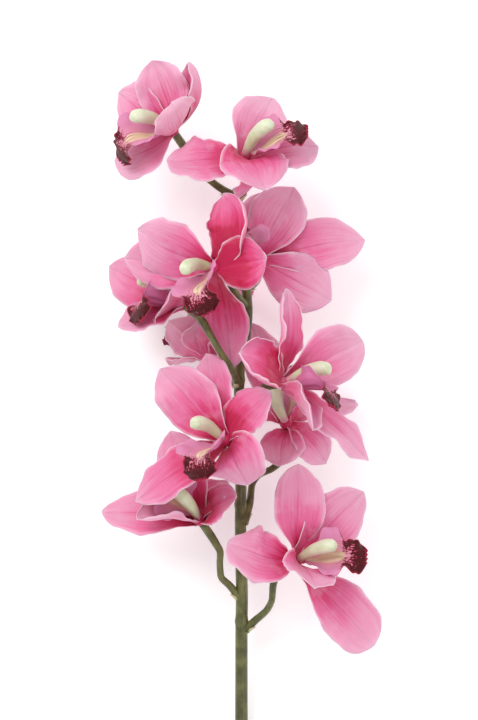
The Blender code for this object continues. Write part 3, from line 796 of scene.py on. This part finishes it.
@dataclass
class Painter:
    """Builds a material's nodes in short steps."""

    name: str
    material: bpy.types.Material = field(init=False)
    tree: bpy.types.NodeTree = field(init=False)
    shader: bpy.types.Node = field(init=False)

    def __post_init__(self) -> None:
        """Starts the material with its Principled shader."""
        self.material = bpy.data.materials.new(self.name)
        self.material.use_nodes = True
        self.tree = self.material.node_tree
        self.shader = self.tree.nodes["Principled BSDF"]

    def math(self, operation: str, *values: Source) -> bpy.types.NodeSocket:
        """Computes one value from others."""
        inputs = dict(enumerate(values))
        return add_node(self.tree, "ShaderNodeMath", inputs, operation=operation).outputs[0]

    def times(self, first: Source, second: Source) -> bpy.types.NodeSocket:
        """Multiplies two values."""
        return self.math("MULTIPLY", first, second)

    def eased(
        self, value: Source, low: float, high: float, to: tuple[float, float] = (0.0, 1.0)
    ) -> bpy.types.NodeSocket:
        """Maps low to high smoothly onto a range, flat outside."""
        inputs = {"Value": value, "From Min": low, "From Max": high, "To Min": to[0], "To Max": to[1]}
        node = add_node(self.tree, "ShaderNodeMapRange", inputs, interpolation_type="SMOOTHSTEP")
        return node.outputs["Result"]

    def mix(self, share: Source, low: Source, high: Source) -> bpy.types.NodeSocket:
        """Mixes two colours, each a socket or a hex code."""
        node = add_node(self.tree, "ShaderNodeMix", data_type="RGBA")
        for socket, value in zip((node.inputs[0], node.inputs[6], node.inputs[7]), (share, low, high)):
            if isinstance(value, bpy.types.NodeSocket):
                self.tree.links.new(value, socket)
            else:
                socket.default_value = srgb(value) if isinstance(value, str) else value
        return node.outputs[2]

    def ramp(self, value: Source, stops: tuple[tuple[float, str], ...]) -> bpy.types.NodeSocket:
        """Reads a smooth row of colours at the value."""
        node = add_node(self.tree, "ShaderNodeValToRGB", {"Fac": value})
        node.color_ramp.interpolation = "EASE"
        while len(node.color_ramp.elements) < len(stops):
            node.color_ramp.elements.new(1.0)
        for element, (place, code) in zip(node.color_ramp.elements, stops):
            element.position = place
            element.color = srgb(code)
        return node.outputs["Color"]

    def sheet_place(self) -> tuple[bpy.types.NodeSocket, bpy.types.NodeSocket]:
        """Gives the place along the sheet's UV map and across it, from -1 to 1."""
        uv = add_node(self.tree, "ShaderNodeUVMap", uv_map="UVMap").outputs["UV"]
        parts = add_node(self.tree, "ShaderNodeSeparateXYZ", {0: uv})
        across_it = self.math("MULTIPLY_ADD", parts.outputs["Y"], 2.0, -1.0)
        return parts.outputs["X"], across_it

    def noise(
        self, size_mm: float, detail: float = 3.0, stretch: Point | None = None, **more: Source
    ) -> bpy.types.NodeSocket:
        """Gives noise whose blotches are about the given size, on Object coordinates."""
        place = add_node(self.tree, "ShaderNodeTexCoord").outputs["Object"]
        if stretch is not None:
            place = add_node(self.tree, "ShaderNodeMapping", {0: place, "Scale": stretch}).outputs[0]
        inputs = {"Vector": place, "Scale": 1.0 / (size_mm * MM), "Detail": detail, **more}
        return add_node(self.tree, "ShaderNodeTexNoise", inputs).outputs["Fac"]

    def streaks(
        self, along: Source, beside: Source, per_length: float, per_width: float
    ) -> bpy.types.NodeSocket:
        """Gives noise drawn out along the sheet, that fans out as the sheet widens."""
        lengthwise = self.times(along, per_length)
        sideways = self.times(beside, per_width / 2)
        depth = add_node(self.tree, "ShaderNodeTexCoord").outputs["Object"]
        other = add_node(self.tree, "ShaderNodeSeparateXYZ", {0: depth}).outputs["Y"]
        other = self.times(other, 12.0)
        place = add_node(self.tree, "ShaderNodeCombineXYZ", {0: lengthwise, 1: sideways, 2: other}).outputs[0]
        inputs = {"Vector": place, "Scale": 1.0, "Detail": 3.0, "Roughness": 0.55}
        return add_node(self.tree, "ShaderNodeTexNoise", inputs).outputs["Fac"]

    def bump(self, height: Source, distance_mm: float, strength: float = 1.0) -> None:
        """Raises the surface by the height, times a distance."""
        inputs = {"Height": height, "Distance": distance_mm * MM, "Strength": strength}
        normal = add_node(self.tree, "ShaderNodeBump", inputs).outputs["Normal"]
        self.tree.links.new(normal, self.shader.inputs["Normal"])

    def colour(self, source: bpy.types.NodeSocket) -> None:
        """Links the shader's base colour."""
        self.tree.links.new(source, self.shader.inputs["Base Color"])

    def surface(self, **values: float | tuple) -> None:
        """Sets the shader's own values, by name with underscores for spaces."""
        for name, value in values.items():
            self.shader.inputs[name.replace("_", " ")].default_value = value


@dataclass(frozen=True)
class PetalFinish:
    """Living petal: soft cells over pink sap, so light sinks in and the surface is satin.

    The veins run from the base to the margin, about 1.5 mm apart.
    """

    name: str = "petal_living_tissue_inner"
    base: str = "#BE1A4C"
    low: str = "#D23B73"
    middle: str = "#DC6E9C"
    high: str = "#DF94B4"
    tip: str = "#E2A8C2"
    margin: str = "#E8BACF"
    cut_edge: str = "#F4DDE6"
    vein: str = "#B92A63"
    veins: float = 44.0
    vein_strength: float = 0.22
    streak_strength: float = 0.55
    margin_strength: float = 0.65

    def material(self) -> bpy.types.Material:
        """Builds the material."""
        paint = Painter(self.name)
        along, beside = paint.sheet_place()
        edge = paint.math("ABSOLUTE", beside)
        # Painted shade: each tepal's deepening value moves its colour towards the deep base colour and dims
        # the pale blotches; negative values paint it paler, as painted light.
        flush = add_node(paint.tree, "ShaderNodeAttribute", attribute_name="flush").outputs["Fac"]
        streaks = paint.streaks(along, beside, 1.3, 9.0)
        fine = paint.streaks(along, beside, 2.2, 30.0)
        moved = paint.math("ADD", along, paint.math("MULTIPLY_ADD", streaks, -0.5, 0.25))
        moved = paint.math("ADD", moved, paint.times(paint.math("POWER", edge, 2.0), 0.14))
        moved = paint.math("SUBTRACT", moved, paint.times(flush, 0.55))
        stops = ((0.04, self.base), (0.17, self.low), (0.42, self.middle), (0.72, self.high), (1.0, self.tip))
        flesh = paint.ramp(moved, stops)
        darker = paint.times(paint.eased(fine, 0.52, 0.72), paint.eased(along, 1.0, 0.3))
        flesh = paint.mix(paint.times(darker, self.streak_strength), flesh, self.low)
        lighter = paint.eased(paint.noise(11.0, 3.0), 0.5, 0.75, (0.0, 0.5))
        lighter = paint.times(lighter, paint.math("SUBTRACT", 1.0, flush))
        flesh = paint.mix(lighter, flesh, self.tip)
        phase = paint.math("MULTIPLY_ADD", paint.noise(9.0, 2.0), 3.0, paint.times(beside, self.veins))
        lines = paint.eased(paint.math("SINE", phase), 0.55, 1.0)
        fade = paint.times(paint.eased(along, 1.0, 0.35), paint.eased(edge, 1.0, 0.5))
        lines = paint.times(paint.times(lines, fade), paint.eased(fine, 0.35, 0.6))
        flesh = paint.mix(paint.times(lines, self.vein_strength), flesh, self.vein)
        # Darker line along the midrib: the midvein's own colour and painted shade in the crease along it.
        midrib_vein_and_crease_shade = paint.times(paint.eased(edge, 0.045, 0.0), paint.eased(along, 1.0, 0.4))
        flesh = paint.mix(paint.times(midrib_vein_and_crease_shade, 0.4), flesh, self.vein)
        rim = paint.math("MAXIMUM", paint.eased(edge, 0.84, 1.0), paint.eased(along, 0.93, 1.0))
        flesh = paint.mix(paint.times(rim, self.margin_strength), flesh, self.margin)
        lip = paint.math("MAXIMUM", paint.eased(edge, 0.965, 0.995), paint.eased(along, 0.985, 1.0))
        flesh = paint.mix(paint.times(lip, 0.7), flesh, self.cut_edge)
        paint.colour(flesh)
        cells = paint.noise(0.45, 1.0)
        ridges = paint.times(fine, 2.2)
        paint.bump(paint.math("ADD", paint.times(cells, 0.3), ridges), 0.22, 0.7)
        paint.surface(
            Roughness=0.48,
            Subsurface_Weight=0.2,
            Subsurface_Radius=(1.0, 0.32, 0.45),
            Subsurface_Scale=0.002,
            Sheen_Weight=0.15,
            Sheen_Roughness=0.35,
            Specular_IOR_Level=0.35,
        )
        return paint.material


@dataclass(frozen=True)
class LipFinish:
    """Lip: velvety tissue, pale in the throat, blotched with wine on its front lobe."""

    name: str = "lip_velvet_tissue_inner"
    throat: str = "#DD93A8"
    lobe: str = "#D486AC"
    front: str = "#D994A6"
    blotch: str = "#48070F"
    wine: str = "#96183E"
    rim: str = "#B32049"
    keel: str = "#E6D6AE"
    stripe: str = "#8C2A3C"

    def material(self) -> bpy.types.Material:
        """Builds the material."""
        paint = Painter(self.name)
        along, beside = paint.sheet_place()
        edge = paint.math("ABSOLUTE", beside)
        at_front = paint.eased(along, 0.60, 0.70)
        flesh = paint.mix(paint.eased(edge, 0.15, 0.7), self.throat, self.lobe)
        flesh = paint.mix(at_front, flesh, self.front)
        keels = paint.times(paint.eased(edge, 0.25, 0.15), paint.eased(along, 0.74, 0.64))
        flesh = paint.mix(paint.times(keels, 0.8), flesh, self.keel)
        stripes = paint.eased(paint.streaks(along, beside, 1.5, 44.0), 0.52, 0.60)
        stripes = paint.times(stripes, paint.eased(along, 0.42, 0.60))
        stripes = paint.times(stripes, paint.eased(edge, 0.62, 0.40))
        flesh = paint.mix(paint.times(stripes, 0.7), flesh, self.stripe)
        outward = paint.math("MAXIMUM", paint.eased(along, 0.66, 0.92), paint.times(at_front, edge))
        spots = paint.times(paint.noise(1.4, 3.0, None, Roughness=0.62), 0.55)
        rays = paint.times(paint.streaks(along, beside, 5.0, 22.0), 0.45)
        spots = paint.math("ADD", paint.math("ADD", spots, rays), paint.times(outward, 0.26))
        wine = paint.times(paint.eased(spots, 0.56, 0.62), at_front)
        flesh = paint.mix(wine, flesh, self.wine)
        blotches = paint.times(paint.eased(spots, 0.62, 0.68), at_front)
        flesh = paint.mix(blotches, flesh, self.blotch)
        rim = paint.math("MAXIMUM", paint.eased(edge, 0.90, 0.97), paint.eased(along, 0.965, 0.99))
        rim = paint.times(rim, paint.eased(along, 0.62, 0.72))
        flesh = paint.mix(paint.times(rim, 0.75), flesh, self.rim)
        paint.colour(flesh)
        height = paint.math("ADD", paint.noise(0.5, 2.0), paint.times(wine, 0.5))
        paint.bump(height, 0.2, 0.7)
        paint.surface(
            Roughness=0.5,
            Subsurface_Weight=0.1,
            Subsurface_Radius=(1.0, 0.3, 0.4),
            Subsurface_Scale=0.001,
            Specular_IOR_Level=0.2,
        )
        return paint.material


@dataclass(frozen=True)
class LipBackFinish:
    """The lip's outer side: lilac side lobes and a magenta front lobe, with faint veins."""

    name: str = "lip_velvet_tissue_back"
    lobe: str = "#DC86B4"
    claw: str = "#CC4078"
    front: str = "#962444"
    vein: str = "#B24284"

    def material(self) -> bpy.types.Material:
        """Builds the material."""
        paint = Painter(self.name)
        along, beside = paint.sheet_place()
        stops = ((0.0, self.claw), (0.3, self.lobe), (0.62, self.lobe), (0.78, self.front))
        flesh = paint.ramp(along, stops)
        phase = paint.math("MULTIPLY_ADD", paint.noise(5.0), 3.0, paint.times(beside, 26.0))
        lines = paint.eased(paint.math("SINE", phase), 0.5, 1.0)
        flesh = paint.mix(paint.times(lines, 0.22), flesh, self.vein)
        paint.colour(flesh)
        paint.bump(paint.noise(0.5, 2.0), 0.12, 0.5)
        paint.surface(Roughness=0.5, Subsurface_Weight=0.15, Subsurface_Scale=0.0015, Sheen_Weight=0.05)
        return paint.material


@dataclass(frozen=True)
class ColumnFinish:
    """Column: thick waxy tissue, cream mottled with a green tint, smooth and softly glossy."""

    name: str = "column_waxy_tissue"
    foot: str = "#D39AA6"
    shaft: str = "#CDD1AE"
    head: str = "#DADEC2"
    # Here the value is only the column's own green tint, mottled at random, with no painted shade.
    flush: str = "#B8C48E"

    def material(self) -> bpy.types.Material:
        """Builds the material."""
        paint = Painter(self.name)
        along, _ = paint.sheet_place()
        flesh = paint.ramp(along, ((0.08, self.foot), (0.26, self.shaft), (0.9, self.head)))
        flesh = paint.mix(paint.eased(paint.noise(6.0), 0.45, 0.75, (0.0, 0.6)), flesh, self.flush)
        paint.colour(flesh)
        paint.bump(paint.noise(0.7, 2.0), 0.1, 0.4)
        paint.surface(
            Roughness=0.38,
            Subsurface_Weight=0.15,
            Subsurface_Radius=(0.8, 1.0, 0.5),
            Subsurface_Scale=0.0015,
        )
        return paint.material


@dataclass(frozen=True)
class StalkFinish:
    """Flower stalk: waxy green skin with faint lengthwise ribs, browner towards its cut end."""

    name: str = "stalk_waxy_skin"
    young: str = "#70703A"
    green: str = "#464A1C"
    dark: str = "#2C3014"
    brown: str = "#352B18"
    cut_y_mm: float = -235.0

    def material(self) -> bpy.types.Material:
        """Builds the material."""
        paint = Painter(self.name)
        place = add_node(paint.tree, "ShaderNodeTexCoord").outputs["Object"]
        parts = add_node(paint.tree, "ShaderNodeSeparateXYZ", {0: place})
        green = paint.mix(paint.eased(paint.noise(7.0, 4.0), 0.3, 0.7), self.green, self.young)
        streaks = paint.noise(1.2, 3.0, (1.0, 0.08, 1.0))
        green = paint.mix(paint.eased(streaks, 0.45, 0.75, (0.0, 0.55)), green, self.dark)
        low = paint.eased(parts.outputs["Y"], (self.cut_y_mm + 150) * MM, self.cut_y_mm * MM)
        green = paint.mix(paint.times(low, 0.7), green, self.brown)
        paint.colour(green)
        paint.bump(paint.math("ADD", streaks, paint.noise(0.4, 2.0)), 0.15, 0.5)
        paint.surface(
            Roughness=0.42,
            Subsurface_Weight=0.1,
            Subsurface_Radius=(0.6, 0.8, 0.3),
            Subsurface_Scale=0.001,
            Coat_Weight=0.15,
            Coat_Roughness=0.35,
        )
        return paint.material


@dataclass(frozen=True)
class BractFinish:
    """Scale leaf: dry papery tissue, pale green with a brown tip."""

    name: str = "bract_papery_tissue"
    foot: str = "#A9AE6C"
    tip: str = "#C9B79A"

    def material(self) -> bpy.types.Material:
        """Builds the material."""
        paint = Painter(self.name)
        along, _ = paint.sheet_place()
        paint.colour(paint.ramp(along, ((0.1, self.foot), (0.9, self.tip))))
        paint.bump(paint.noise(0.6, 3.0), 0.1, 0.5)
        paint.surface(Roughness=0.6)
        return paint.material


@dataclass(frozen=True)
class CutFinish:
    """The cut face of the stalk: moist pale pith with darker strands."""

    name: str = "stalk_cut_pith"
    pith: str = "#C9C48E"
    strand: str = "#8C8A4C"

    def material(self) -> bpy.types.Material:
        """Builds the material."""
        paint = Painter(self.name)
        dots = paint.eased(paint.noise(0.9, 2.0), 0.5, 0.65)
        paint.colour(paint.mix(dots, self.pith, self.strand))
        paint.bump(paint.noise(0.5, 2.0), 0.2, 0.6)
        paint.surface(Roughness=0.5)
        return paint.material


@dataclass(frozen=True)
class Finishes:
    """Every finish of the plant, made once."""

    petal: bpy.types.Material
    petal_back: bpy.types.Material
    lip: bpy.types.Material
    lip_back: bpy.types.Material
    column: bpy.types.Material
    anther: bpy.types.Material
    stalk: bpy.types.Material
    bract: bpy.types.Material
    cut: bpy.types.Material

    @classmethod
    def made(cls) -> Finishes:
        """Builds the materials."""
        back = PetalFinish(
            name="petal_living_tissue_back",
            base="#C2406E",
            low="#DC6690",
            middle="#E290B0",
            high="#E6A6C0",
            tip="#EAB6CA",
            margin="#EEC8D8",
            vein="#BE5484",
            vein_strength=0.35,
            margin_strength=0.5,
        )
        anther = ColumnFinish("anther_waxy_cap", "#D0D4B2", "#D4D8B8", "#DCE0C4", "#BCC894")
        return cls(
            PetalFinish().material(),
            back.material(),
            LipFinish().material(),
            LipBackFinish().material(),
            ColumnFinish().material(),
            anther.material(),
            StalkFinish().material(),
            BractFinish().material(),
            CutFinish().material(),
        )


def show(
    name: str,
    shell: bmesh.types.BMesh,
    materials: tuple[bpy.types.Material, ...],
    origin: Point,
    slot: Slot,
    *nodes: str,
) -> None:
    """Makes the finished piece that stands for some CAD nodes, at the world's origin.

    Args:
        name: The piece's name.
        shell: Its mesh, in metres relative to the origin. It is freed.
        materials: Its materials.
        origin: Where the mesh's own zero lies in the layout, in millimetres.
        slot: The record's material slot; not used.
        nodes: The CAD nodes that it replaces.
    """
    bmesh.ops.translate(shell, verts=shell.verts[:], vec=(Vector(origin) + Vector(PLANT_SHIFT)) * MM)
    mesh = bpy.data.meshes.new(name)
    shell.to_mesh(mesh)
    shell.free()
    for material in materials:
        mesh.materials.append(material)
    piece = bpy.data.objects.new(name, mesh)
    bpy.context.scene.collection.objects.link(piece)
    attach(piece, "root")
    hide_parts(*nodes)
    LOG.info("%s: %d faces", name, len(mesh.polygons))


@dataclass
class Bloom:
    """One flower's visible pieces."""

    form: BloomForm
    finishes: Finishes
    blade: SheetTemplate
    lip_sheet: SheetTemplate
    blade_thickness: float = 0.7
    blade_rim: float = 0.3
    lip_thickness: float = 0.7
    lip_rim: float = 0.35
    hub_radius: float = 3.9
    column_rings: int = 36
    column_sides: int = 24
    cap_ahead: float = 28.2
    cap_above: float = 2.6
    cap_tilt: float = 0.55
    cap_length: float = 3.4
    cap_depth: float = 3.0
    cap_width: float = 3.9
    column_path: tuple[Point, ...] = (
        (3.0, 0.9, 2.3),
        (5.0, 1.4, 2.5),
        (11.0, 3.2, 3.2),
        (18.0, 4.6, 3.9),
        (24.5, 4.4, 4.3),
        (28.5, 3.0, 4.0),
        (30.4, 1.8, 2.4),
    )

    def build(self) -> None:
        """Builds the tepals, the lip and the column."""
        self.build_tepals()
        self.build_lip()
        self.build_column()

    def build_tepals(self) -> None:
        """Builds the five tepals round their hub."""
        form = self.form
        shell = bmesh.new()
        for order, tepal in enumerate(form.tepals):
            surface = TepalSurface(form, tepal, order)

            def place(u: Array, v: Array, surface: TepalSurface = surface) -> Array:
                """Keeps the blade above the surface that the stem lies on."""
                return laid_on_surface(surface.place(u, v), form.heart)

            # Passes on the tepal's deepening value, its deeper tint and painted shade.
            mesh = self.blade.bent(place, self.blade_thickness, self.blade_rim, tepal.flush)
            shell.from_mesh(mesh)
            bpy.data.meshes.remove(mesh)
        facing = unit(form.facing)
        down = across(form.lip_side, facing)
        side = np.cross(facing, down)
        size = self.hub_radius
        ball(shell, np.zeros(3), (facing * size, down * size, side * size))
        skins = (self.finishes.petal, self.finishes.petal_back)
        name = f"bloom_{form.name}_tepals"
        show(f"{name}_skin", shell, skins, form.heart, Slot.PETAL, name)

    def build_lip(self) -> None:
        """Builds the three-lobed lip with its two keels."""
        form = self.form
        surface = LipSurface(form)
        mesh = self.lip_sheet.bent(
            lambda u, v: laid_on_surface(surface.place(u, v), form.heart), self.lip_thickness, self.lip_rim
        )
        shell = bmesh.new()
        shell.from_mesh(mesh)
        bpy.data.meshes.remove(mesh)
        skins = (self.finishes.lip, self.finishes.lip_back)
        name = f"bloom_{form.name}_lip"
        show(f"{name}_skin", shell, skins, form.heart, Slot.LIP, name)

    def build_column(self) -> None:
        """Builds the arched column and the cap over its tip."""
        form = self.form
        facing = unit(form.facing)
        down = across(form.lip_side, facing)
        side = np.cross(facing, down)
        path = smooth_line(self.column_path, self.column_rings)
        shell = bmesh.new()
        tube(shell, path[:, :1] * facing - path[:, 1:2] * down, path[:, 2], self.column_sides)
        tip = self.cap_ahead * facing - self.cap_above * down
        ahead = unit(facing + self.cap_tilt * down)
        under = across(down, ahead)
        axes = (ahead * self.cap_length, under * self.cap_depth, side * self.cap_width)
        ball(shell, tip, axes, material=1)
        skins = (self.finishes.column, self.finishes.anther)
        name = f"bloom_{form.name}_column"
        show(f"{name}_skin", shell, skins, form.heart, Slot.COLUMN, name)


@dataclass
class Stalk:
    """The stem with the blooms' stalks and the small scale leaves under them."""

    finishes: Finishes
    forms: tuple[BloomForm, ...]
    leaf: SheetTemplate
    path: tuple[tuple[float, float, float, float], ...] = (
        (3.0, -291.0, 4.0, 4.2),
        (2.2, -255.0, 6.2, 4.1),
        (1.5, -216.0, 12.0, 3.9),
        (1.5, -168.0, 22.0, 3.8),
        (1.8, -144.0, 28.0, 3.7),
        (1.2, -120.0, 33.0, 3.6),
        (0.9, -96.0, 38.0, 3.5),
        (1.2, -72.0, 42.0, 3.4),
        (0.9, -42.0, 46.0, 3.3),
        (0.0, -21.0, 48.0, 3.2),
        (0.6, -3.0, 50.0, 3.1),
        (4.2, 15.0, 51.0, 3.0),
        (5.4, 30.0, 52.0, 2.9),
        (4.2, 45.0, 52.0, 2.8),
        (3.0, 66.0, 52.0, 2.6),
        (1.2, 87.0, 52.0, 2.4),
        (-1.2, 98.4, 52.0, 2.2),
        (-2.6, 104.0, 53.0, 1.4),
    )
    joints: tuple[float, ...] = (-160.0, -88.0, -12.0)
    joint_stand: float = 0.5
    joint_reach: float = 1.8
    rings: int = 260
    sides: int = 28
    pedicel_rings: int = 48
    pedicel_sides: int = 18
    hub_clear: float = 3.0
    bract_length: float = 8.0
    bract_width: float = 5.2
    bract_stand: float = 2.6
    bract_hug: float = 60.0
    bract_thickness: float = 0.45
    bract_rim: float = 0.2
    bract_curl: float = 0.9
    bract_sunk: float = 0.12
    pedicel_stations: tuple[float, ...] = (0.0, 0.12, 0.5, 0.85, 1.0)
    pedicel_radii: tuple[float, ...] = (3.0, 2.4, 2.05, 2.6, 2.5)
    cut_reach: float = 0.05

    def build(self) -> None:
        """Builds the stalk as one piece."""
        shell = bmesh.new()
        line = smooth_line(np.array(self.path), self.rings)
        radii = line[:, 3].copy()
        for joint in self.joints:
            radii += self.joint_stand * np.exp(-(((line[:, 1] - joint) / self.joint_reach) ** 2))
        tube(shell, line[:, :3], radii, self.sides)
        for form in self.forms:
            self.add_pedicel(shell, form)
        materials = (self.finishes.stalk, self.finishes.cut, self.finishes.bract)
        for face in shell.faces:
            if face.calc_center_median().y < (self.path[0][1] + self.cut_reach) * MM:
                face.material_index = 1
                face.smooth = False
        for form in self.forms:
            self.add_bract(shell, form)
        show("stem_skin", shell, materials, (0.0, 0.0, 0.0), Slot.STEM, "stem")

    def add_pedicel(self, shell: bmesh.types.BMesh, form: BloomForm) -> None:
        """Adds a bloom's stalk, swollen where it leaves the stem and at its ovary.

        Args:
            shell: The mesh that it is added to.
            form: The bloom.
        """
        heart = np.array(form.heart)
        last = np.array(form.pedicel[-1], float)
        end = heart + unit(last - heart) * self.hub_clear
        line = smooth_line(np.array([*form.pedicel, end], float), self.pedicel_rings)
        share = np.linspace(0, 1, len(line))
        radii = through(share, self.pedicel_stations, self.pedicel_radii)
        tube(shell, line, radii, self.pedicel_sides)

    def add_bract(self, shell: bmesh.types.BMesh, form: BloomForm) -> None:
        """Adds the pointed scale leaf that hugs the foot of a bloom's stalk.

        Args:
            shell: The mesh that it is added to.
            form: The bloom.
        """
        foot = np.array(form.pedicel[0], float)
        along = unit(np.array(form.pedicel[1], float) - foot)
        under = across((0.0, -1.0, 0.0), along)
        t = np.linspace(0, 1, 17)[:, None]
        line = foot + under * (self.bract_stand + self.bract_curl * t**2)
        line = line + along * self.bract_length * (t - self.bract_sunk)
        tangents, normals = frames_along(line, -under)
        sheet = BentSheet(
            line,
            normals,
            tangents,
            half_width=lambda at: self.bract_width / 2 * np.sqrt(np.clip(1.02 - at, 0, 1)),
            edge=lambda at: np.full_like(at, self.bract_hug),
            fold=lambda at: np.zeros_like(at),
            roll=lambda at: np.zeros_like(at),
        )
        mesh = self.leaf.bent(lambda u, v: sheet.points(u, v)[0], self.bract_thickness, self.bract_rim)
        first = len(shell.faces)
        shell.from_mesh(mesh)
        bpy.data.meshes.remove(mesh)
        shell.faces.ensure_lookup_table()
        for face in shell.faces[first:]:
            face.material_index = 2


@dataclass(frozen=True)
class Lamp:
    """A round soft lamp, in metres and watts, aimed at the plant."""

    name: str
    place: Point
    size: float
    power: float


@dataclass
class Studio:
    """The camera, the pale floor, which glows faintly as a light table does, and the soft light."""

    scale_mm_per_pixel: float = 0.6
    long_side: int = 720
    distance: float = 2.2
    focus_height: float = 0.07
    sensor: float = 36.0
    floor_glow: float = 0.22
    floor_half_side: float = 4.0
    surround: float = 0.75
    lamps: tuple[Lamp, ...] = (
        Lamp("key", (-0.7, 0.9, 1.5), 1.2, 16.0),
        Lamp("fill", (1.1, -0.5, 1.3), 1.4, 6.0),
    )

    def build(self) -> None:
        """Sets up everything that isn't the plant."""
        self.add_camera()
        self.add_floor()
        self.add_lights()

    def add_camera(self) -> None:
        """Looks straight down on the stem from above its middle."""
        camera = bpy.data.cameras.new("camera")
        camera.sensor_width = self.sensor
        half = self.scale_mm_per_pixel * self.long_side / 2 * MM
        camera.lens = self.sensor / 2 * self.distance / half
        camera.clip_end = 20.0
        holder = bpy.data.objects.new("camera", camera)
        holder.location = Vector(PLANT_SHIFT) * MM + Vector((0, 0, self.focus_height + self.distance))
        bpy.context.scene.collection.objects.link(holder)
        bpy.context.scene.camera = holder

    def add_floor(self) -> None:
        """Lays a plain pale floor under the stem."""
        sheet = bmesh.new()
        bmesh.ops.create_grid(sheet, x_segments=1, y_segments=1, size=self.floor_half_side)
        mesh = bpy.data.meshes.new("floor")
        sheet.to_mesh(mesh)
        sheet.free()
        paint = Painter("floor_matt_white")
        paint.surface(
            Base_Color=srgb("#FBFBFB"),
            Roughness=0.9,
            Specular_IOR_Level=0.1,
            Emission_Color=srgb("#FFFFFF"),
            Emission_Strength=self.floor_glow,
        )
        mesh.materials.append(paint.material)
        floor = bpy.data.objects.new("floor", mesh)
        bpy.context.scene.collection.objects.link(floor)

    def add_lights(self) -> None:
        """Adds an even surround and two large soft lamps."""
        world = bpy.data.worlds.new("surround")
        world.use_nodes = True
        background = world.node_tree.nodes["Background"]
        background.inputs["Color"].default_value = (1.0, 1.0, 1.0, 1.0)
        background.inputs["Strength"].default_value = self.surround
        bpy.context.scene.world = world
        for lamp in self.lamps:
            light = bpy.data.lights.new(lamp.name, "AREA")
            light.shape = "DISK"
            light.size = lamp.size
            light.energy = lamp.power
            holder = bpy.data.objects.new(lamp.name, light)
            holder.location = lamp.place
            aim = Vector(PLANT_SHIFT) * MM - Vector(lamp.place)
            holder.rotation_euler = aim.to_track_quat("-Z", "Y").to_euler()
            bpy.context.scene.collection.objects.link(holder)
        bpy.context.scene.view_settings.view_transform = "Standard"


def main() -> None:
    """Builds the plant's pieces and the studio."""
    logging.basicConfig(level=logging.INFO, format="%(message)s")
    Studio().build()
    finishes = Finishes.made()
    blade = SheetTemplate(steps=44, lanes=24)
    lip_sheet = SheetTemplate(steps=64, lanes=36)
    Stalk(finishes, BLOOM_FORMS, SheetTemplate(steps=14, lanes=10)).build()
    for form in BLOOM_FORMS:
        Bloom(form, finishes, blade, lip_sheet).build()


if __name__ == "__main__":
    main()
